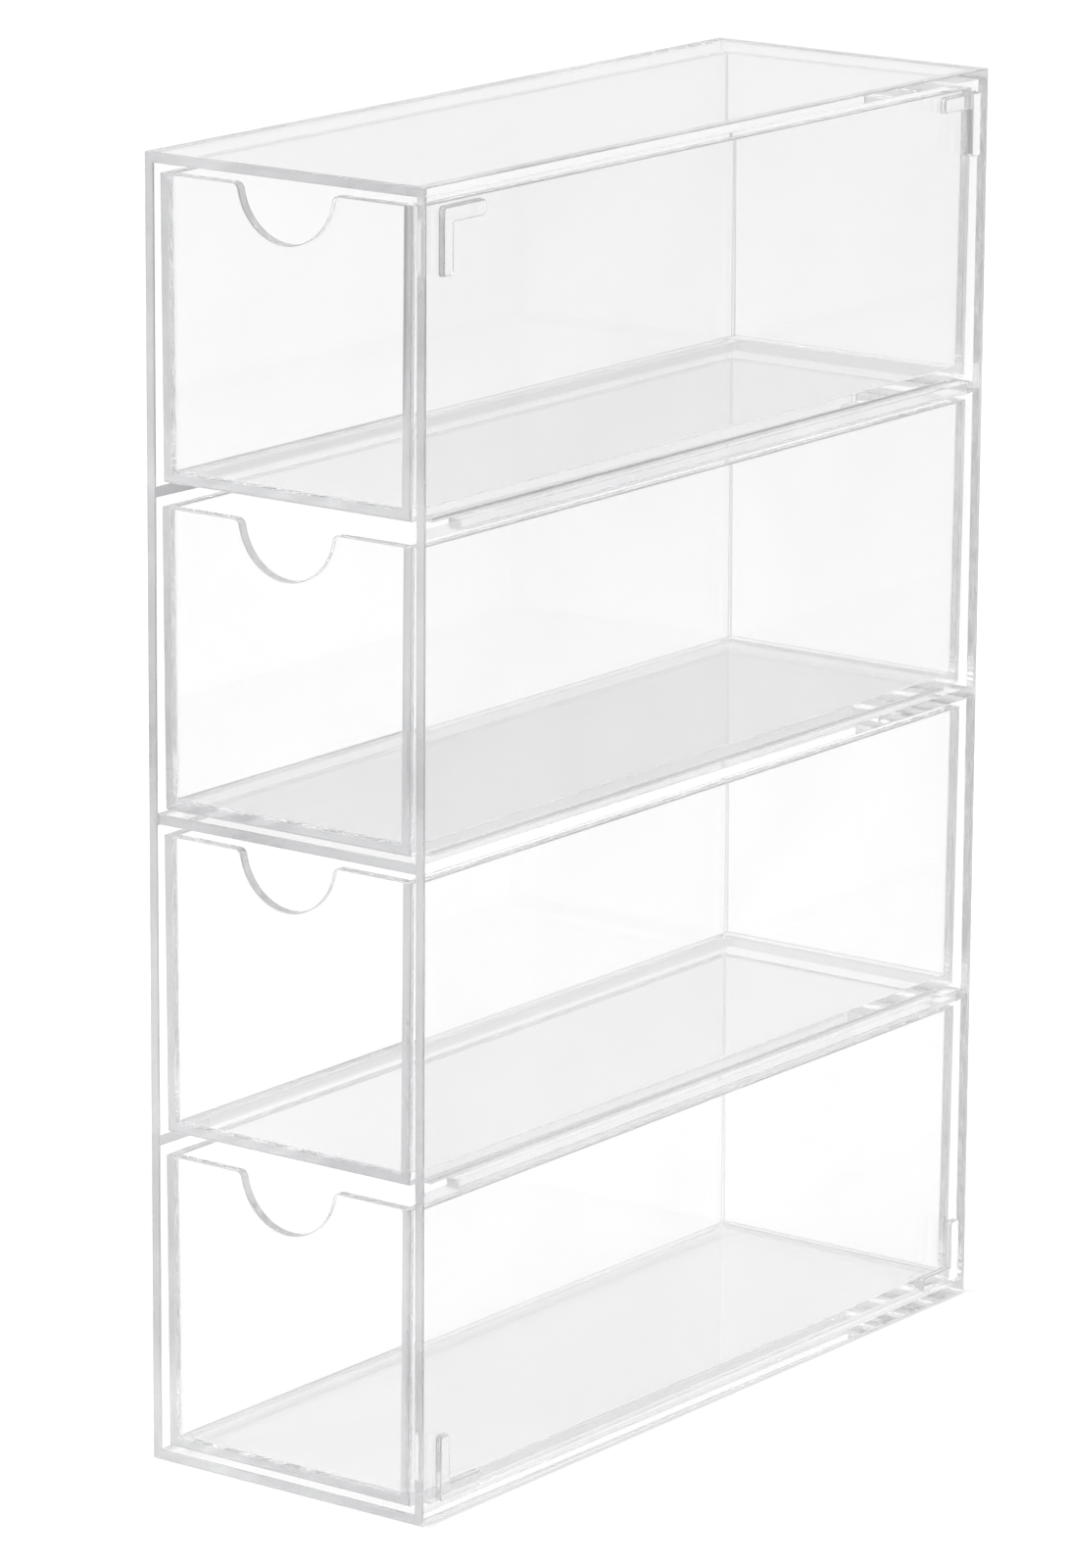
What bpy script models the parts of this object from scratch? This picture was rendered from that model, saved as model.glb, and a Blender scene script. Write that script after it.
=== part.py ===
"""Four-drawer clear acrylic case for eyeglasses, built panel by panel.

A tall, narrow, deep case stands on its bottom panel. Its front is open and
holds four pull-out trays, one above the other. The middle shelf splits the
case into two bays of two trays: the lower tray sits just above the bay's
floor, the upper one just above a pair of thin ledges on the side panels.

Frame: +Z up, the drawer fronts face -Y, +X is the side with the stacking
feet. The origin is the middle of the bottom panel's underside.
Blender works in metres; all lengths below are in millimetres and are scaled
by MM where they reach a mesh or a location.
"""

import math

import bmesh
import bpy

MM = 0.001

# ---- case ------------------------------------------------------------------
CASE_W = 64.5          # across the drawer fronts
CASE_D = 180.0         # front to back
CASE_H = 250.0         # underside to top
WALL = 2.0             # every sheet of the case and of the trays
BOND = 0.1             # gap left between two bonded sheets

HALF_W = CASE_W / 2
INNER_HALF_W = HALF_W - WALL
FITTED_HALF_W = INNER_HALF_W - BOND    # parts bonded between the side panels
FITTED_BACK = CASE_D - WALL - BOND     # parts that end at the back panel

SHELF_BOTTOM = (CASE_H - WALL) / 2     # the shelf is centred on the height
SHELF_TOP = SHELF_BOTTOM + WALL
SHELF_INSET = 0.4      # shelf behind the front edges of the side panels
BAY_FLOORS = {"lower": WALL, "upper": SHELF_TOP}

LEDGE_RISE = 59.9      # underside of a ledge above the floor of its bay
LEDGE_T = 2.0          # ledge thickness
LEDGE_W = 2.9          # across the ledge, along x
LEDGE_INSET = 12.0     # front end of a ledge behind the front of the case

# ---- edge chamfers ---------------------------------------------------------
ARRIS = 0.25           # edge break on most sheets
FRONT_ARRIS = 0.2      # edge break on the tray fronts
ARRIS_MIN_ANGLE = 60.0 # degrees; shallower edges, as on the arcs, stay sharp

# ---- trays -----------------------------------------------------------------
TRAY_H = 57.4          # underside of the tray floor to the tray's rim
TRAY_L = 176.9         # outside of front sheet to outside of back sheet
TRAY_SETBACK = 0.5     # tray front behind the front edge of the case
TRAY_HALF_TOP = 29.1   # half outside width at the rim
TRAY_HALF_FOOT = 28.65 # half outside width at the floor: a slight draft
TRAY_LIFT = 1.0        # tray floor above the bay floor or the ledges
SKID = 0.7             # side sheets run this far below the tray floor

NOTCH_R = 10.8         # finger notch radius
NOTCH_CENTRE = 0.6     # notch centre above the rim
NOTCH_FILLET = 1.5     # rounding where the notch meets the rim
NOTCH_STEPS = 26
FILLET_STEPS = 5

# ---- stacking feet ---------------------------------------------------------
FOOT_LEG = 12.6        # outside length of each leg of the L
FOOT_W = 3.0           # leg width
FOOT_T = 1.0           # foot thickness, along x
FOOT_INSET = 4.0       # foot's corner from the case's edges
FOOT_ROUND = 0.8       # rounding of the outline's outside corners
FOOT_STEPS = 3

# ---- acrylic: tint (linear RGB) and surface roughness -----------------------
TRAY_FINISH = {"tint": (0.965, 0.970, 0.972), "roughness": 0.03}
PANEL_FINISH = {"tint": (0.950, 0.956, 0.960), "roughness": 0.04}
FITTING_FINISH = {"tint": (0.930, 0.938, 0.940), "roughness": 0.06}
ACRYLIC_IOR = 1.49
ACRYLIC_TRANSMISSION = 0.9
VIEWPORT_ALPHA = 0.4


# ---- scene and material ----------------------------------------------------
def clear_scene():
    for ob in list(bpy.data.objects):
        bpy.data.objects.remove(ob, do_unlink=True)
    for block in (bpy.data.meshes, bpy.data.materials):
        for item in list(block):
            block.remove(item)


def acrylic(name, tint, roughness):
    """Clear acrylic: nearly colourless, glossy, no metal."""
    mat = bpy.data.materials.new(name)
    mat.use_nodes = True
    shader = mat.node_tree.nodes["Principled BSDF"].inputs
    shader["Base Color"].default_value = (*tint, 1.0)
    shader["Roughness"].default_value = roughness
    shader["Metallic"].default_value = 0.0
    shader["IOR"].default_value = ACRYLIC_IOR
    shader["Transmission Weight"].default_value = ACRYLIC_TRANSMISSION
    mat.diffuse_color = (*tint, VIEWPORT_ALPHA)
    return mat


# ---- building blocks -------------------------------------------------------
def add_empty(name, y, z):
    """Empty on the case's centre plane, the parent of a group of parts."""
    empty = bpy.data.objects.new(name, None)
    empty.location = (0.0, y * MM, z * MM)
    bpy.context.scene.collection.objects.link(empty)
    return empty


def add_part(name, bm, parent, finish, arris):
    """Turns a bmesh into a parented object with its own material and edge break."""
    bmesh.ops.recalc_face_normals(bm, faces=bm.faces[:])
    mesh = bpy.data.meshes.new(name)
    bm.to_mesh(mesh)
    bm.free()
    mesh.materials.append(acrylic("acr_" + name, **finish))
    ob = bpy.data.objects.new(name, mesh)
    bpy.context.scene.collection.objects.link(ob)
    if arris:
        bevel = ob.modifiers.new("arris", "BEVEL")
        bevel.width = arris * MM
        bevel.segments = 1
        bevel.limit_method = "ANGLE"
        bevel.angle_limit = math.radians(ARRIS_MIN_ANGLE)
        bevel.use_clamp_overlap = True
    ob.parent = parent
    return ob


def sheet(name, x, y, z, parent, finish=PANEL_FINISH):
    """Flat sheet between two x, two y and two z values, with its origin in its middle."""
    bm = bmesh.new()
    bmesh.ops.create_cube(bm, size=1.0)
    size = [(high - low) * MM for low, high in (x, y, z)]
    bmesh.ops.scale(bm, vec=size, verts=bm.verts[:])
    ob = add_part(name, bm, parent, finish, ARRIS)
    ob.location = [(low + high) / 2 * MM for low, high in (x, y, z)]


def prism(name, outline, axis, span, parent, finish, arris=ARRIS):
    """Extrudes (x, z) points along Y, or (y, z) points along X, over a span."""
    start, end = span
    bm = bmesh.new()
    if axis == "Y":
        verts = [bm.verts.new((x * MM, start * MM, z * MM)) for x, z in outline]
        travel = (0.0, (end - start) * MM, 0.0)
    else:
        verts = [bm.verts.new((start * MM, y * MM, z * MM)) for y, z in outline]
        travel = ((end - start) * MM, 0.0, 0.0)
    face = bm.faces.new(verts)
    extruded = bmesh.ops.extrude_face_region(bm, geom=[face])["geom"]
    moved = [item for item in extruded if isinstance(item, bmesh.types.BMVert)]
    bmesh.ops.translate(bm, vec=travel, verts=moved)
    return add_part(name, bm, parent, finish, arris)


def arc(across, up, radius, start, end, steps):
    """Points on an arc about (across, up), from start to end degrees inclusive."""
    points = []
    for i in range(steps + 1):
        angle = math.radians(start + (end - start) * i / steps)
        points.append((across + radius * math.cos(angle), up + radius * math.sin(angle)))
    return points


# ---- case ------------------------------------------------------------------
def build_panels(case):
    full_width = (-HALF_W, HALF_W)
    full_depth = (0.0, CASE_D)
    sheet("top_panel", full_width, full_depth, (CASE_H - WALL, CASE_H), case)
    sheet("bottom_panel", full_width, full_depth, (0.0, WALL), case)

    upright = (WALL + BOND, CASE_H - WALL - BOND)
    sheet("left_side_panel", (-HALF_W, -INNER_HALF_W), full_depth, upright, case)
    sheet("right_side_panel", (INNER_HALF_W, HALF_W), full_depth, upright, case)

    fitted_width = (-FITTED_HALF_W, FITTED_HALF_W)
    sheet("back_panel", fitted_width, (CASE_D - WALL, CASE_D), upright, case)
    sheet("middle_shelf", fitted_width, (SHELF_INSET, FITTED_BACK),
          (SHELF_BOTTOM, SHELF_TOP), case)


def build_ledges(case):
    """A pair of ledges in each bay, under its upper tray."""
    y = (LEDGE_INSET, FITTED_BACK)
    sides = {
        "left": (-FITTED_HALF_W, -FITTED_HALF_W + LEDGE_W),
        "right": (FITTED_HALF_W - LEDGE_W, FITTED_HALF_W),
    }
    for bay, floor in BAY_FLOORS.items():
        bottom = floor + LEDGE_RISE
        for side, x in sides.items():
            sheet(f"ledge_{side}_{bay}", x, y, (bottom, bottom + LEDGE_T), case,
                  FITTING_FINISH)


def foot_outline(y_sign, z_sign):
    """L in y-z about its outer corner; the signs point its legs."""
    radius = FOOT_ROUND
    leg_end = FOOT_LEG - radius
    leg_side = FOOT_W - radius
    points = arc(radius, radius, radius, 270.0, 180.0, FOOT_STEPS)
    points += arc(radius, leg_end, radius, 180.0, 90.0, FOOT_STEPS)
    points += arc(leg_side, leg_end, radius, 90.0, 0.0, FOOT_STEPS)
    points.append((FOOT_W, FOOT_W))
    points += arc(leg_end, leg_side, radius, 90.0, 0.0, FOOT_STEPS)
    points += arc(leg_end, radius, radius, 0.0, -90.0, FOOT_STEPS)
    return [(y_sign * y, z_sign * z) for y, z in points]


def build_feet(case):
    """Four L-shaped feet on the right side panel, legs pointing inwards."""
    depths = (("front", FOOT_INSET, 1), ("back", CASE_D - FOOT_INSET, -1))
    levels = (("bottom", FOOT_INSET, 1), ("top", CASE_H - FOOT_INSET, -1))
    for depth, y, y_sign in depths:
        for level, z, z_sign in levels:
            foot = prism(f"side_foot_{depth}_{level}", foot_outline(y_sign, z_sign),
                         "X", (0.0, FOOT_T), case, FITTING_FINISH, arris=0.0)
            foot.location = ((HALF_W + BOND) * MM, y * MM, z * MM)


def build_case():
    """The case, local to an empty at the bottom of its front edge."""
    case = add_empty("case_origin", -CASE_D / 2, 0.0)
    build_panels(case)
    build_ledges(case)
    build_feet(case)


# ---- trays -----------------------------------------------------------------
def tray_half(height):
    """Half the tray's outside width at a height above its floor's underside."""
    return TRAY_HALF_FOOT + (TRAY_HALF_TOP - TRAY_HALF_FOOT) * height / TRAY_H


def notch_outline():
    """Finger notch from right to left: fillet, large arc, fillet.

    Each fillet's centre lies one fillet radius below the rim, and the sum of
    both radii from the notch's centre.
    """
    reach = NOTCH_R + NOTCH_FILLET
    drop = NOTCH_FILLET + NOTCH_CENTRE
    fillet_x = math.sqrt(reach ** 2 - drop ** 2)
    fillet_z = TRAY_H - NOTCH_FILLET
    lean = math.degrees(math.asin(drop / reach))
    points = arc(fillet_x, fillet_z, NOTCH_FILLET, 90.0, 180.0 - lean, FILLET_STEPS)
    # The large arc's end points are already on the fillets.
    points += arc(0.0, TRAY_H + NOTCH_CENTRE, NOTCH_R, -lean, -180.0 + lean,
                  NOTCH_STEPS)[1:-1]
    points += arc(-fillet_x, fillet_z, NOTCH_FILLET, lean, 90.0, FILLET_STEPS)
    return points


def end_outline(rim_points=()):
    """Tapered front or back sheet in x-z; rim_points cut into its rim."""
    foot, rim = tray_half(0.0), tray_half(TRAY_H)
    return [(-foot, 0.0), (foot, 0.0), (rim, TRAY_H), *rim_points, (-rim, TRAY_H)]


def side_outline(sign):
    """Section of a tray side sheet in x-z: it leans out by the draft."""
    foot, rim = tray_half(-SKID), tray_half(TRAY_H)
    points = [(foot - WALL, -SKID), (foot, -SKID), (rim, TRAY_H), (rim - WALL, TRAY_H)]
    return [(sign * x, z) for x, z in points]


def build_drawer(number, z_floor):
    """One tray, local to an empty at its front centre, at its floor's underside."""
    slide = add_empty(f"drawer_{number}_slide", -CASE_D / 2 + TRAY_SETBACK, z_floor)
    tag = f"drawer_{number}_"

    prism(tag + "front", end_outline(notch_outline()), "Y", (0.0, WALL), slide,
          TRAY_FINISH, arris=FRONT_ARRIS)
    prism(tag + "back", end_outline(), "Y", (TRAY_L - WALL, TRAY_L), slide, TRAY_FINISH)

    between_ends = (WALL + BOND, TRAY_L - WALL - BOND)
    for side, sign in (("left", -1), ("right", 1)):
        prism(f"{tag}{side}_side", side_outline(sign), "Y", between_ends, slide, TRAY_FINISH)

    floor_half = tray_half(-SKID) - WALL - BOND
    sheet(tag + "floor", (-floor_half, floor_half), between_ends, (0.0, WALL), slide,
          TRAY_FINISH)


def build_drawers():
    """Two trays in each bay, numbered from the top down."""
    number = 1
    for bay in ("upper", "lower"):
        for support in (LEDGE_RISE + LEDGE_T, 0.0):
            build_drawer(number, BAY_FLOORS[bay] + support + TRAY_LIFT)
            number += 1


def main():
    clear_scene()
    build_case()
    build_drawers()
    bpy.context.view_layer.update()


main()
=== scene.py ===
# Four-drawer clear acrylic case for eyeglasses: the looks.
# x runs to the right, y from front to back and z up, with the floor at z = 0.
# Lengths are in mm up to the studio section, which is in metres.
# The case is one bonded body (cement leaves no air between the sheets) and each
# drawer is one moulded tray, so each is one closed shell with rounded edges.
# Their places and sizes come from the CAD nodes.

import math

import bmesh
import bpy
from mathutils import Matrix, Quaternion, Vector


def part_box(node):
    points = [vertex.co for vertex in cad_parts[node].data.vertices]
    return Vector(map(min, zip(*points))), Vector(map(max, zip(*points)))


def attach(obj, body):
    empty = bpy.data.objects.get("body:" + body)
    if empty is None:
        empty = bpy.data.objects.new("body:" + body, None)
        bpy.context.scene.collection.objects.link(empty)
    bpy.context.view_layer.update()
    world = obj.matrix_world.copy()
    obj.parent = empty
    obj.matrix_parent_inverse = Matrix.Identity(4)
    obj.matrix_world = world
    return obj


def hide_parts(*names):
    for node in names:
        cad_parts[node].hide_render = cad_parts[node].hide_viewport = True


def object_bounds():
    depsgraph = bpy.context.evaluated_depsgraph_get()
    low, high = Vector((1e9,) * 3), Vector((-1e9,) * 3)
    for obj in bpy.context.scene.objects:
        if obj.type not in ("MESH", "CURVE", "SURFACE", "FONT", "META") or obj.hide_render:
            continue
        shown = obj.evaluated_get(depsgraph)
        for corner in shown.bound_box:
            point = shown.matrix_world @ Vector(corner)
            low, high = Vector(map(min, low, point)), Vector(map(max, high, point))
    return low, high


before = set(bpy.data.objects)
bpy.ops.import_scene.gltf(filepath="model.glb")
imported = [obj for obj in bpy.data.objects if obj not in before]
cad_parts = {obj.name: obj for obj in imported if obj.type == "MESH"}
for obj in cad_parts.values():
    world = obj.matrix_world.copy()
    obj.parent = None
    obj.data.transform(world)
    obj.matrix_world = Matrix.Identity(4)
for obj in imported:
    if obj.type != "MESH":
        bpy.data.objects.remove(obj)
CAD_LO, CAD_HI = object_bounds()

MM = 0.001
scene = bpy.context.scene

# ---- edge rounding (mm) ----------------------------------------------------------
CASE_OUTER = 0.30      # the case's outer edges
CASE_OPENING = 0.20    # edges of the front opening, shelf and ledges
CEMENT = 0.15          # small fillet of cement in inner corners
FOOT_TOP = 0.28        # a stacking foot's top
FOOT_CORNER = 0.25     # inner corner of a foot's L
TRAY_CORNER = 0.38     # outer corners of a tray
TRAY_FOOT = 0.55       # outer bottom edges of a tray
TRAY_INNER = 0.30      # inner corners of a tray
TRAY_RIM = 0.25        # rim and notch
TRAY_UNDER = 0.18      # skids and the underside
FULL_WEIGHT = 2.0      # rounding for a bevel weight of 1
BEVEL_SEGMENTS = 4
SHARP = math.radians(35)    # edges that turn by less stay unrounded

# ---- material slots --------------------------------------------------------------
SHEET, CUT_EDGE, ROUNDED_EDGE, BONDED_EDGE = range(4)
NARROW = 2.3           # a face narrower than this is the edge of a sheet


# ---- mesh helpers ----------------------------------------------------------------
def mm_box(node):
    """Low and high corner of a CAD node."""
    return [[c / MM for c in corner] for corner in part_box(node)]


def face(bm, cache, points):
    """One flat face; points that coincide share a vertex."""
    verts = []
    for point in points:
        key = tuple(round(c, 4) for c in point)
        if key not in cache:
            cache[key] = bm.verts.new([c * MM for c in key])
        verts.append(cache[key])
    return bm.faces.new(verts)


# A grid cell's six sides: the step to the neighbour, then the side's corners,
# with 0 for the cell's low end and 1 for its high end on each axis.
CELL_SIDES = (
    ((-1, 0, 0), ((0, 0, 0), (0, 0, 1), (0, 1, 1), (0, 1, 0))),
    ((1, 0, 0), ((1, 0, 0), (1, 1, 0), (1, 1, 1), (1, 0, 1))),
    ((0, -1, 0), ((0, 0, 0), (1, 0, 0), (1, 0, 1), (0, 0, 1))),
    ((0, 1, 0), ((0, 1, 0), (0, 1, 1), (1, 1, 1), (1, 1, 0))),
    ((0, 0, -1), ((0, 0, 0), (0, 1, 0), (1, 1, 0), (1, 0, 0))),
    ((0, 0, 1), ((0, 0, 1), (1, 0, 1), (1, 1, 1), (0, 1, 1))),
)


def shell(bm, xs, ys, zs, solid):
    """Skin of the grid cells for which solid(i, j, k) is true."""
    cache = {}
    nx, ny, nz = len(xs) - 1, len(ys) - 1, len(zs) - 1

    def full(i, j, k):
        return 0 <= i < nx and 0 <= j < ny and 0 <= k < nz and solid(i, j, k)

    for i in range(nx):
        for j in range(ny):
            for k in range(nz):
                if not full(i, j, k):
                    continue
                for (di, dj, dk), corners in CELL_SIDES:
                    if not full(i + di, j + dj, k + dk):
                        face(bm, cache, [(xs[i + a], ys[j + b], zs[k + c]) for a, b, c in corners])
    bmesh.ops.dissolve_limit(
        bm, angle_limit=math.radians(0.5), use_dissolve_boundaries=False,
        verts=bm.verts[:], edges=bm.edges[:], delimit=set(),
    )


def arc(centre_x, centre_y, radius, start, end, steps):
    """Points on an arc, from one angle to another (degrees)."""
    angles = [math.radians(start + (end - start) * i / steps) for i in range(steps + 1)]
    return [(centre_x + radius * math.cos(a), centre_y + radius * math.sin(a)) for a in angles]


def in_plane(f, axis, place):
    return all(abs(v.co[axis] - place * MM) < 1e-6 for v in f.verts)


def split_plane(bm, axis, place, cut_axis, cut_place):
    """Splits the faces that lie at place on axis along a line at cut_place on cut_axis."""
    faces = [f for f in bm.faces if in_plane(f, axis, place)]
    verts = list({v for f in faces for v in f.verts})
    edges = list({e for f in faces for e in f.edges})
    point, normal = [0, 0, 0], [0, 0, 0]
    point[cut_axis] = cut_place * MM
    normal[cut_axis] = 1
    bmesh.ops.bisect_plane(bm, geom=verts + edges + faces, dist=1e-7,
                           plane_co=point, plane_no=normal)


def weigh(bm, rule):
    """Gives each sharp edge the rounding rule(end, end, convex)."""
    layer = bm.edges.layers.float.new("bevel_weight_edge")
    for e in bm.edges:
        rounding = 0.0
        if len(e.link_faces) == 2 and e.calc_face_angle(0.0) > SHARP:
            a, b = e.verts[0].co / MM, e.verts[1].co / MM
            rounding = rule(a, b, e.is_convex)
        e[layer] = rounding / FULL_WEIGHT


def mark_edge_faces(bm):
    """Puts the narrow faces in the slot of the sheets' cut edges."""
    for f in bm.faces:
        perimeter = sum(e.calc_length() for e in f.edges)
        extents = sorted(max(v.co[k] for v in f.verts) - min(v.co[k] for v in f.verts)
                         for k in range(3))
        slim = 2.0 * f.calc_area() / perimeter < NARROW * 0.5 * MM
        f.material_index = CUT_EDGE if slim or extents[1] < NARROW * MM else SHEET


def link_mesh(name, bm):
    mesh = bpy.data.meshes.new(name)
    bm.to_mesh(mesh)
    bm.free()
    ob = bpy.data.objects.new(name, mesh)
    scene.collection.objects.link(ob)
    return ob


def put(name, bm, materials, body, replaced):
    """Finishes a shell: smooth shading, materials, rounded edges, its place in the frame."""
    bmesh.ops.recalc_face_normals(bm, faces=bm.faces[:])
    ob = link_mesh(name, bm)
    for p in ob.data.polygons:
        p.use_smooth = True
    for material in materials:
        ob.data.materials.append(material)
    bevel = ob.modifiers.new("polished_edges", "BEVEL")
    bevel.limit_method = "WEIGHT"
    bevel.width = FULL_WEIGHT * MM
    bevel.segments = BEVEL_SEGMENTS
    bevel.use_clamp_overlap = False
    bevel.harden_normals = True
    bevel.material = ROUNDED_EDGE
    bevel.miter_outer = "MITER_SHARP"
    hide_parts(*replaced)
    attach(ob, body)


# ---- materials -------------------------------------------------------------------
class Nodes:
    """Makes nodes in one tree; an input given a socket is linked to it."""

    def __init__(self, tree):
        tree.nodes.clear()
        self.tree = tree

    def new(self, kind, inputs={}, **settings):
        node = self.tree.nodes.new(kind)
        for key, value in settings.items():
            setattr(node, key, value)
        for key, value in inputs.items():
            self.feed(node, key, value)
        return node

    def feed(self, node, key, value):
        if isinstance(value, bpy.types.NodeSocket):
            self.tree.links.new(value, node.inputs[key])
        else:
            node.inputs[key].default_value = value

    def calc(self, operation, a, b):
        return self.new("ShaderNodeMath", {0: a, 1: b}, operation=operation).outputs[0]

    def remap(self, value, source, target):
        """Maps the range source, (min, max), onto target."""
        return self.new("ShaderNodeMapRange", {
            "From Min": source[0], "From Max": source[1],
            "To Min": target[0], "To Max": target[1], "Value": value,
        }).outputs["Result"]

    def noise(self, vector, scale, detail, rough=0.5, distortion=0.0):
        return self.new("ShaderNodeTexNoise", {
            "Scale": scale, "Detail": detail, "Roughness": rough,
            "Distortion": distortion, "Vector": vector,
        }).outputs["Fac"]

    def mix_colour(self, factor, a, b):
        return self.new("ShaderNodeMix", {"Factor": factor, "A": (*a, 1.0), "B": (*b, 1.0)},
                        data_type="RGBA").outputs["Result"]

    def mix_shader(self, factor, a, b):
        return self.new("ShaderNodeMixShader", {0: factor, 1: a, 2: b}).outputs[0]


IOR = 1.49
ABSORB_COLOUR = (0.90, 0.902, 0.905, 1)
ABSORB_DENSITY = 9.0
PASS_COLOUR = (0.9995, 0.9995, 0.9995, 1)   # for lamps and bounced light
MOTTLE = (0.35, 0.68)                       # cloud noise range over which the tint changes
NEAR_DEPTH = 3.5                            # the finish shows up to this ray depth
# Painted shade: over these ray depths the acrylic's tint is painted down to a grey with a set
# share of haze, standing in for light lost on a long run along a sheet.
DEEP = (7.5, 15.0)                          # ray depths over which light gets lost in a sheet
DEEP_CLEAR, DEEP_PAINTED_SHADE = 0.60, (0.74, 0.74, 0.75)
# How clear and of what tint an edge is when it's seen through other sheets; a cut or rounded edge
# gets a painted lighter tint and more haze there, a bonded joint about its own tint.
FAR_EDGE_PAINTED_LIGHT = (0.45, (0.96, 0.96, 0.965))
FAR_BOND = (0.25, (0.60, 0.60, 0.61))


def surface_finish(nodes, tints, rough, bump, clear):
    """Acrylic with its mottled tint, haze and scratches."""
    place = nodes.new("ShaderNodeTexCoord").outputs["Object"]
    shader = nodes.new("ShaderNodeBsdfPrincipled", {"Transmission Weight": 1.0, "IOR": IOR})
    cloud = nodes.noise(place, scale=28.0, detail=1.0, rough=0.55, distortion=0.4)
    mottle = nodes.remap(cloud, MOTTLE, (0.0, 1.0))
    nodes.feed(shader, "Base Color", nodes.mix_colour(mottle, *tints))
    if clear:
        nodes.feed(shader, "Transmission Weight", nodes.remap(cloud, MOTTLE, clear))

    # polish: mostly smooth, with hazier patches and hair-fine scratches
    haze = nodes.noise(place, scale=90.0, detail=2.0, rough=0.6)
    stretched = nodes.new("ShaderNodeMapping", {
        "Scale": (900.0, 60.0, 260.0), "Rotation": (0.3, 0.15, 0.5), "Vector": place,
    }).outputs["Vector"]
    hair = nodes.noise(stretched, scale=1.0, detail=0.0)
    scratch = nodes.remap(hair, (0.70, 0.76), (0.0, 1.0))
    scratch_rough = nodes.calc("MULTIPLY", scratch, 0.5 * (rough[1] - rough[0]))
    patches = nodes.remap(haze, (0.45, 0.75), rough)
    nodes.feed(shader, "Roughness", nodes.calc("ADD", patches, scratch_rough))

    wave = nodes.noise(place, scale=55.0, detail=1.0)
    height = nodes.calc("ADD", wave, nodes.calc("MULTIPLY", scratch, 0.15))
    relief = nodes.new("ShaderNodeBump", {"Strength": bump, "Distance": 0.00004, "Height": height})
    nodes.feed(shader, "Normal", relief.outputs["Normal"])
    return shader.outputs[0]


def inside_with_painted_shade(nodes, depth, far_clear, far_tint):
    """Plain acrylic with painted shade: dimmer and greyer the longer light has run on along a
    sheet.
    """
    deep = nodes.remap(depth, DEEP, (0.0, 1.0))
    return nodes.new("ShaderNodeBsdfPrincipled", {
        "Transmission Weight": nodes.remap(deep, (0.0, 1.0), (far_clear, DEEP_CLEAR)),
        "IOR": IOR,
        "Roughness": 0.0,
        "Base Color": nodes.mix_colour(deep, far_tint, DEEP_PAINTED_SHADE),
    }).outputs[0]


def acrylic(name, tints, rough, bump, clear=None, far=FAR_EDGE_PAINTED_LIGHT):
    """Clear acrylic. tints mottle it, rough is (least, most).

    clear is how much of the light goes through an edge, (least, most): the
    rest is scattered as a fine white haze. Without it the sheet is fully clear.
    """
    material = bpy.data.materials.new(name)
    material.use_nodes = True
    nodes = Nodes(material.node_tree)
    out = nodes.new("ShaderNodeOutputMaterial")
    finish = surface_finish(nodes, tints, rough, bump, clear)

    path = nodes.new("ShaderNodeLightPath").outputs
    even = tuple((u + v) / 2 for u, v in zip(*tints))
    # seen through other sheets, a cut or rounded edge takes its painted lighter far tint; a sheet
    # keeps its own mean tint
    far_clear, far_tint = far if clear else (1.0, even)
    plain = inside_with_painted_shade(nodes, path["Ray Depth"], far_clear, far_tint)
    is_near = nodes.calc("LESS_THAN", path["Ray Depth"], NEAR_DEPTH)
    solid = nodes.mix_shader(is_near, plain, finish)

    # lamps and bounced light pass through, so the floor stays evenly lit
    passing = nodes.new("ShaderNodeBsdfTransparent", {"Color": PASS_COLOUR}).outputs[0]
    is_passing = nodes.calc("MAXIMUM", path["Is Shadow Ray"], path["Is Diffuse Ray"])
    nodes.feed(out, "Surface", nodes.mix_shader(is_passing, solid, passing))
    volume = nodes.new("ShaderNodeVolumeAbsorption",
                       {"Color": ABSORB_COLOUR, "Density": ABSORB_DENSITY})
    nodes.feed(out, "Volume", volume.outputs[0])
    return material


BONDED = dict(tints=((0.64, 0.64, 0.65), (0.55, 0.55, 0.56)),
              rough=(0.10, 0.22), bump=0.08, clear=(0.22, 0.34), far=FAR_BOND)
# in the order of the material slots
case_materials = [
    acrylic("case_acrylic", tints=((0.967, 0.966, 0.966), (0.955, 0.954, 0.954)),
            rough=(0.0, 0.015), bump=0.015),
    acrylic("case_acrylic_sawn_edge", tints=((0.90, 0.90, 0.912), (0.83, 0.83, 0.845)),
            rough=(0.10, 0.22), bump=0.10, clear=(0.60, 0.76)),
    acrylic("case_acrylic_polished_edge", tints=((0.93, 0.93, 0.935), (0.87, 0.87, 0.88)),
            rough=(0.04, 0.11), bump=0.05, clear=(0.66, 0.82)),
    acrylic("case_acrylic_bonded_edge", **BONDED),
]
tray_materials = [
    acrylic("drawer_acrylic", tints=((0.967, 0.966, 0.969), (0.954, 0.953, 0.957)),
            rough=(0.0, 0.012), bump=0.012),
    acrylic("drawer_acrylic_rim", tints=((0.91, 0.91, 0.922), (0.85, 0.85, 0.865)),
            rough=(0.12, 0.24), bump=0.08, clear=(0.62, 0.78)),
    acrylic("drawer_acrylic_rounded_edge", tints=((0.93, 0.93, 0.937), (0.88, 0.88, 0.89)),
            rough=(0.04, 0.10), bump=0.04, clear=(0.68, 0.84)),
    acrylic("drawer_acrylic_bonded_edge", **BONDED),
]


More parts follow.
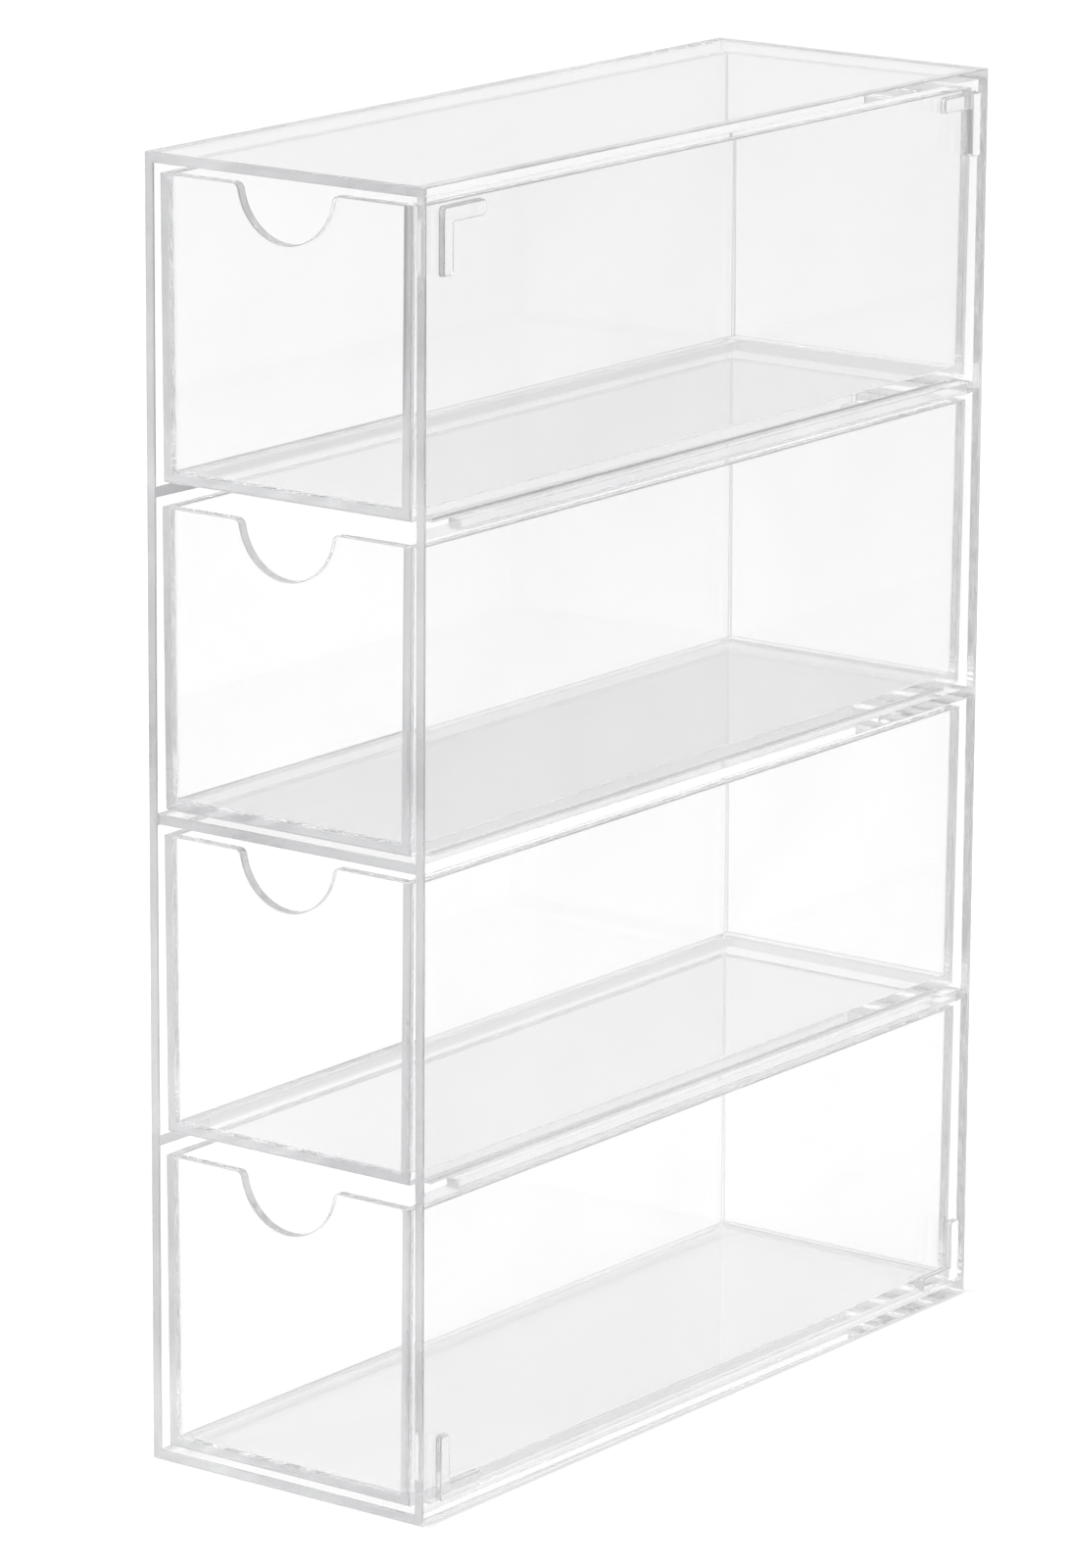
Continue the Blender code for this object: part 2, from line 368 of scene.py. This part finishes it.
# ---- case ------------------------------------------------------------------------
(LEFT, FRONT, BOTTOM), (_, _, INNER_BOTTOM) = mm_box("bottom_panel")
(_, _, INNER_TOP), (RIGHT, REAR, TOP) = mm_box("top_panel")
INNER_LEFT = mm_box("left_side_panel")[1][0]
INNER_RIGHT = mm_box("right_side_panel")[0][0]
INNER_REAR = mm_box("back_panel")[0][1]
(_, SHELF_FRONT, SHELF_LOW), (_, _, SHELF_HIGH) = mm_box("middle_shelf")
(_, LEDGE_FRONT, LOWER_LEDGE_LOW), (LEDGE_LEFT, _, LOWER_LEDGE_HIGH) = mm_box("ledge_left_lower")
LEDGE_RIGHT = mm_box("ledge_right_lower")[0][0]
(_, _, UPPER_LEDGE_LOW), (_, _, UPPER_LEDGE_HIGH) = mm_box("ledge_left_upper")

FOOT_WIDTH = 3.0       # of each arm of the L
FOOT_ROUND = 0.8       # radius of its corners in outline
FOOT_SINK = 0.9        # how far it reaches into the side panel
FOOT_LINE = 5.5        # from the front and the rear to a line through the feet

CASE_NODES = [
    "top_panel", "bottom_panel", "left_side_panel", "right_side_panel", "back_panel",
    "middle_shelf",
    "ledge_left_upper", "ledge_right_upper", "ledge_left_lower", "ledge_right_lower",
    "side_foot_front_top", "side_foot_front_bottom", "side_foot_back_top", "side_foot_back_bottom",
]


def case_solid(i, j, k):
    """Cells across: side, ledge, middle, ledge, side. Back: 3 is the back panel.

    Up: 0 bottom, 2 lower ledges, 4 shelf, 6 upper ledges, 8 top.
    """
    if i in (0, 4) or k in (0, 8) or j == 3:
        return True
    return j > 0 and (k == 4 or (j == 2 and k in (2, 6) and i in (1, 3)))


def foot_outline(y_out, z_out, y_in, z_in):
    """L in y-z: (y_out, z_out) is its outer corner, (y_in, z_in) its far corner."""
    y_sign = 1 if y_in > y_out else -1
    z_sign = 1 if z_in > z_out else -1
    length, height = abs(y_in - y_out), abs(z_in - z_out)
    w, r = FOOT_WIDTH, FOOT_ROUND
    points = arc(r, r, r, 270.0, 180.0, 6)
    points += arc(r, height - r, r, 180.0, 90.0, 6)
    points += arc(w - r, height - r, r, 90.0, 0.0, 6)
    points += [(w, w)]
    points += arc(length - r, w - r, r, 90.0, 0.0, 6)
    points += arc(length - r, r, r, 0.0, -90.0, 6)
    return [(y_out + y_sign * a, z_out + z_sign * b) for a, b in points]


def feet():
    """The four stacking feet on the right side panel."""
    bm = bmesh.new()
    for node in CASE_NODES[-4:]:
        lo, hi = mm_box(node)
        y_out, y_in = (lo[1], hi[1]) if "front" in node else (hi[1], lo[1])
        z_out, z_in = (hi[2], lo[2]) if "top" in node else (lo[2], hi[2])
        base = RIGHT - FOOT_SINK
        f = bm.faces.new([bm.verts.new((base * MM, y * MM, z * MM))
                          for y, z in foot_outline(y_out, z_out, y_in, z_in)])
        grown = bmesh.ops.extrude_face_region(bm, geom=[f])["geom"]
        bmesh.ops.translate(bm, vec=((hi[0] - base) * MM, 0, 0),
                            verts=[g for g in grown if isinstance(g, bmesh.types.BMVert)])
    bmesh.ops.recalc_face_normals(bm, faces=bm.faces[:])
    return bm


def union(bm_a, bm_b):
    """Joins two bodies, and takes both up."""
    body, tool = link_mesh("tmp_case", bm_a), link_mesh("tmp_feet", bm_b)
    boolean = body.modifiers.new("feet", "BOOLEAN")
    boolean.operation = "UNION"
    boolean.solver = "EXACT"
    boolean.object = tool
    evaluated = body.evaluated_get(bpy.context.evaluated_depsgraph_get())
    bm = bmesh.new()
    bm.from_mesh(evaluated.to_mesh())
    evaluated.to_mesh_clear()
    for ob in (body, tool):
        mesh = ob.data
        bpy.data.objects.remove(ob, do_unlink=True)
        bpy.data.meshes.remove(mesh)
    bmesh.ops.remove_doubles(bm, verts=bm.verts[:], dist=1e-6)
    return bm


def case_rounding(a, b, convex):
    eps = 0.02
    above = RIGHT + 0.5                           # between the panel and a foot's top
    if min(a[0], b[0]) > above:
        return FOOT_TOP
    if min(a[0], b[0]) > RIGHT - eps and max(a[0], b[0]) > above:
        return FOOT_CORNER
    limits = ((LEFT, RIGHT), (FRONT, REAR), (BOTTOM, TOP))
    outer_planes = sum(any(abs(a[k] - c) < eps and abs(b[k] - c) < eps for c in limits[k])
                       for k in range(3))
    if outer_planes >= 2:
        return CASE_OUTER
    return CASE_OPENING if convex else CEMENT


def build_case():
    bm = bmesh.new()
    shell(bm,
          [LEFT, INNER_LEFT, LEDGE_LEFT, LEDGE_RIGHT, INNER_RIGHT, RIGHT],
          [FRONT, SHELF_FRONT, LEDGE_FRONT, INNER_REAR, REAR],
          [BOTTOM, INNER_BOTTOM, LOWER_LEDGE_LOW, LOWER_LEDGE_HIGH, SHELF_LOW, SHELF_HIGH,
           UPPER_LEDGE_LOW, UPPER_LEDGE_HIGH, INNER_TOP, TOP],
          case_solid)

    # Split the right side through the feet, so that no face gets a hole.
    for y in (FRONT + FOOT_LINE, REAR - FOOT_LINE):
        split_plane(bm, 0, RIGHT, 1, y)
    # Split the rear where the back panel is bonded to the other sheets.
    for x in (INNER_LEFT, INNER_RIGHT):
        split_plane(bm, 1, REAR, 0, x)
    for z in (INNER_BOTTOM, INNER_TOP, SHELF_LOW, SHELF_HIGH):
        split_plane(bm, 1, REAR, 2, z)

    bm = union(bm, feet())
    mark_edge_faces(bm)
    for f in bm.faces:
        if in_plane(f, 0, LEFT) or in_plane(f, 0, RIGHT):
            f.material_index = SHEET              # narrow strips of a side too
        if in_plane(f, 1, REAR):
            # the joint is hazier, except down the left side
            x, _, z = f.calc_center_median() / MM
            is_clear = (x < INNER_RIGHT and INNER_BOTTOM < z < INNER_TOP
                        and not SHELF_LOW < z < SHELF_HIGH)
            f.material_index = SHEET if is_clear else BONDED_EDGE
    weigh(bm, case_rounding)
    put("case_shell", bm, case_materials, "case", CASE_NODES)


# ---- drawers ---------------------------------------------------------------------
NOTCH_RADIUS = 10.8
NOTCH_RISE = 0.6       # from the rim up to the notch's centre
NOTCH_FILLET = 1.5     # where the notch meets the rim
SKID_INSET = 3.0       # from a side sheet's ends to its skid
FOOT_SPREAD = 0.1      # outer half-width at the foot, beyond the floor's and a wall


def notch_path(rim):
    """Finger notch from its left end on the rim to its right end, as (x, z)."""
    reach, drop = NOTCH_RADIUS + NOTCH_FILLET, NOTCH_FILLET + NOTCH_RISE
    end = math.sqrt(reach ** 2 - drop ** 2)
    tilt = math.degrees(math.asin(drop / reach))
    low = rim - NOTCH_FILLET
    points = arc(-end, low, NOTCH_FILLET, 90.0, tilt, 8)
    points += arc(0.0, rim + NOTCH_RISE, NOTCH_RADIUS, 180.0 + tilt, 360.0 - tilt, 60)[1:-1]
    points += arc(end, low, NOTCH_FILLET, 180.0 - tilt, 90.0, 8)
    return points


def build_tray(number):
    tag = "drawer_%d_" % number
    floor_lo, floor_hi = mm_box(tag + "floor")
    (_, y0, _), (outer, y1, rim) = mm_box(tag + "front")    # y0 to y1: front sheet
    (_, y2, _), (_, y3, _) = mm_box(tag + "back")           # y2 to y3: back sheet
    side_lo, side_hi = mm_box(tag + "right_side")
    base, deck, skid = floor_lo[2], floor_hi[2], side_lo[2]
    skid_y0, skid_y1 = side_lo[1] + SKID_INSET, side_hi[1] - SKID_INSET
    wall = y1 - y0
    inner = outer - wall                                    # half-widths at the rim
    foot = -floor_lo[0] + FOOT_SPREAD + wall
    slope = (outer - foot) / (rim - skid)

    def lean(x, y, z):
        """Draft: the sheet leans in towards the floor."""
        shift = slope * (rim - z)
        return (x - shift if x > 0 else x + shift, y, z)

    def across(y, *corners):
        return [lean(x, y, z) for x, z in corners]

    def along(x, *corners):
        return [lean(x, y, z) for y, z in corners]

    def level(z, *corners):
        return [lean(x, y, z) for x, y in corners]

    bm = bmesh.new()
    cache = {}

    def add(points):
        return face(bm, cache, points)

    def bands(y, side):
        """Where a sheet covers the ends of the floor and of the sides; -side's comes first."""
        o, i = side * outer, side * inner
        return [
            add(across(y, (-o, base), (o, base), (o, deck), (i, deck), (-i, deck), (-o, deck))),
            add(across(y, (-o, deck), (-i, deck), (-i, rim), (-o, rim))),
            add(across(y, (i, deck), (o, deck), (o, rim), (i, rim))),
        ]

    # front sheet, outer and inner face
    notch = notch_path(rim)
    end = notch[-1][0]
    add(across(y0, (-inner, deck), (inner, deck), (inner, rim))
        + [(x, y0, z) for x, z in reversed(notch)] + across(y0, (-inner, rim)))
    front_bands = bands(y0, 1)
    add(across(y1, (inner, deck), (-inner, deck), (-inner, rim))
        + [(x, y1, z) for x, z in notch] + across(y1, (inner, rim)))
    # rim, open at the notch
    add(level(rim, (-end, y0), (-inner, y0), (-outer, y0), (-outer, y3), (-inner, y3),
              (inner, y3), (outer, y3), (outer, y0), (inner, y0), (end, y0),
              (end, y1), (inner, y1), (inner, y2), (-inner, y2), (-inner, y1), (-end, y1)))
    for (xa, za), (xb, zb) in zip(notch, notch[1:]):
        add([(xa, y0, za), (xb, y0, zb), (xb, y1, zb), (xa, y1, za)])
    # back sheet, outer and inner face
    add(across(y3, (inner, deck), (-inner, deck), (-inner, rim), (inner, rim)))
    back_bands = bands(y3, -1)
    add(across(y2, (-inner, deck), (inner, deck), (inner, rim), (-inner, rim)))
    # sides, which run down into two skids
    for o, i in ((-outer, -inner), (outer, inner)):
        add(along(o, (y0, base), (skid_y0, base), (skid_y0, skid), (skid_y1, skid),
                  (skid_y1, base), (y3, base), (y3, deck), (y3, rim), (y0, rim), (y0, deck)))
        add(along(i, (y1, deck), (y2, deck), (y2, rim), (y1, rim)))
        add(level(skid, (o, skid_y0), (i, skid_y0), (i, skid_y1), (o, skid_y1)))
        add(along(i, (skid_y0, skid), (skid_y0, base), (skid_y1, base), (skid_y1, skid)))
        add(across(skid_y0, (o, base), (i, base), (i, skid), (o, skid)))
        add(across(skid_y1, (o, base), (o, skid), (i, skid), (i, base)))
    # floor, top and underside
    add(level(deck, (-inner, y1), (inner, y1), (inner, y2), (-inner, y2)))
    add(level(base, (-outer, y0), (-outer, skid_y0), (-inner, skid_y0), (-inner, skid_y1),
              (-outer, skid_y1), (-outer, y3), (outer, y3), (outer, skid_y1),
              (inner, skid_y1), (inner, skid_y0), (outer, skid_y0), (outer, y0)))
    bmesh.ops.recalc_face_normals(bm, faces=bm.faces[:])

    mark_edge_faces(bm)
    for f in front_bands:
        f.material_index = CUT_EDGE
    for f in back_bands[:2]:                      # all but the left one
        f.material_index = BONDED_EDGE

    def rounding(a, b, _convex):
        def both(axis, *places):
            return any(abs(a[axis] - c) < 0.05 and abs(b[axis] - c) < 0.05 for c in places)

        if both(2, rim):
            return TRAY_RIM
        rise = abs(a[2] - b[2])
        if rise > 1.0 and abs(a[0] - b[0]) + abs(a[1] - b[1]) < 0.1 * rise:
            on_end = any(abs(a[1] - y) < 0.05 for y in (y0, y3))
            return TRAY_CORNER if on_end else TRAY_INNER
        if both(2, deck):
            return TRAY_INNER
        if max(a[2], b[2]) > deck + 1.0:          # the notch
            return TRAY_RIM
        return TRAY_FOOT if both(1, y0, y3) else TRAY_UNDER

    weigh(bm, rounding)
    parts = [tag + part for part in ("front", "back", "left_side", "right_side", "floor")]
    put(tag + "tray", bm, tray_materials, "drawer_%d" % number, parts)


build_case()
for number in (1, 2, 3, 4):
    build_tray(number)


# ---- studio (metres) -------------------------------------------------------------
def build_floor():
    bpy.ops.mesh.primitive_circle_add(vertices=128, radius=9.0, fill_type="NGON",
                                      location=(0, 0, -0.0003))
    floor = bpy.context.object
    floor.name = "floor"
    paper = bpy.data.materials.new("floor_paper")
    paper.use_nodes = True
    inputs = paper.node_tree.nodes["Principled BSDF"].inputs
    inputs["Base Color"].default_value = (0.94, 0.94, 0.94, 1)
    inputs["Roughness"].default_value = 1.0
    inputs["Specular IOR Level"].default_value = 0.0
    floor.data.materials.append(paper)


SKY = 0.90             # strength overhead
HORIZON_GLOW = 0.14    # added at the horizon
GLOW_HEIGHT = 0.05     # how fast the glow fades with height


def build_world():
    world = bpy.data.worlds.new("studio")
    scene.world = world
    world.use_nodes = True
    nodes = Nodes(world.node_tree)
    direction = nodes.new("ShaderNodeTexCoord").outputs["Generated"]
    up = nodes.new("ShaderNodeSeparateXYZ", {0: direction}).outputs["Z"]
    fade = nodes.calc("MULTIPLY", nodes.calc("MAXIMUM", up, 0.0), -1.0 / GLOW_HEIGHT)
    glow = nodes.calc("MULTIPLY", nodes.calc("POWER", math.e, fade), HORIZON_GLOW)
    background = nodes.new("ShaderNodeBackground", {
        "Color": (1, 1, 1, 1), "Strength": nodes.calc("ADD", glow, SKY)})
    nodes.new("ShaderNodeOutputWorld", {"Surface": background.outputs[0]})
    world.cycles.sampling_method = "NONE"


def aim(ob, direction):
    ob.rotation_mode = "QUATERNION"
    ob.rotation_quaternion = direction.to_track_quat("-Z", "Y")


def lamp(name, kind, place, target, **settings):
    light = bpy.data.lights.new(name, kind)
    for key, value in settings.items():
        setattr(light, key, value)
    ob = bpy.data.objects.new(name, light)
    scene.collection.objects.link(ob)
    ob.location = place
    aim(ob, Vector(target) - Vector(place))


build_floor()
build_world()
lamp("sky_wash", "SUN", place=(-1.0, -1.2, 3.0), target=(0, 0, 0),
     energy=0.50, angle=math.radians(40))
lamp("key_softbox", "AREA", place=(-1.3, -1.5, 1.9), target=(0, 0, 0.12),
     energy=14, shape="RECTANGLE", size=0.9, size_y=0.9)
lamp("overhead_softbox", "AREA", place=(-0.10, 0.12, 0.85), target=(-0.10, 0.12, 0.0),
     energy=1.1, shape="RECTANGLE", size=0.6, size_y=0.6)

# ---- camera ----------------------------------------------------------------------
AZIMUTH, ELEVATION, ROLL = math.radians(36.72), math.radians(14.00), math.radians(0.33)
HEIGHT = CAD_HI[2] - CAD_LO[2]
TARGET = Vector((-0.0396 * HEIGHT, 0.0, 0.4691 * HEIGHT))
DISTANCE = 5.890 * HEIGHT


def build_camera():
    towards = Vector((math.sin(AZIMUTH) * math.cos(ELEVATION),
                      -math.cos(AZIMUTH) * math.cos(ELEVATION), math.sin(ELEVATION)))
    data = bpy.data.cameras.new("camera")
    data.sensor_fit = "AUTO"
    data.sensor_width = 36.0
    data.lens = 174.96
    data.clip_start, data.clip_end = 0.05, 60.0
    camera = bpy.data.objects.new("camera", data)
    scene.collection.objects.link(camera)
    camera.location = TARGET + towards * DISTANCE
    aim(camera, -towards)
    camera.rotation_quaternion = camera.rotation_quaternion @ Quaternion((0, 0, 1), ROLL)
    scene.camera = camera


build_camera()

# clear sheet seen lengthwise needs many internal reflections
scene.view_settings.view_transform = "Standard"
scene.view_settings.look = "None"
scene.cycles.max_bounces = 72
scene.cycles.transmission_bounces = 72
scene.cycles.glossy_bounces = 72
scene.cycles.transparent_max_bounces = 64
scene.cycles.diffuse_bounces = 3
scene.cycles.use_light_tree = False
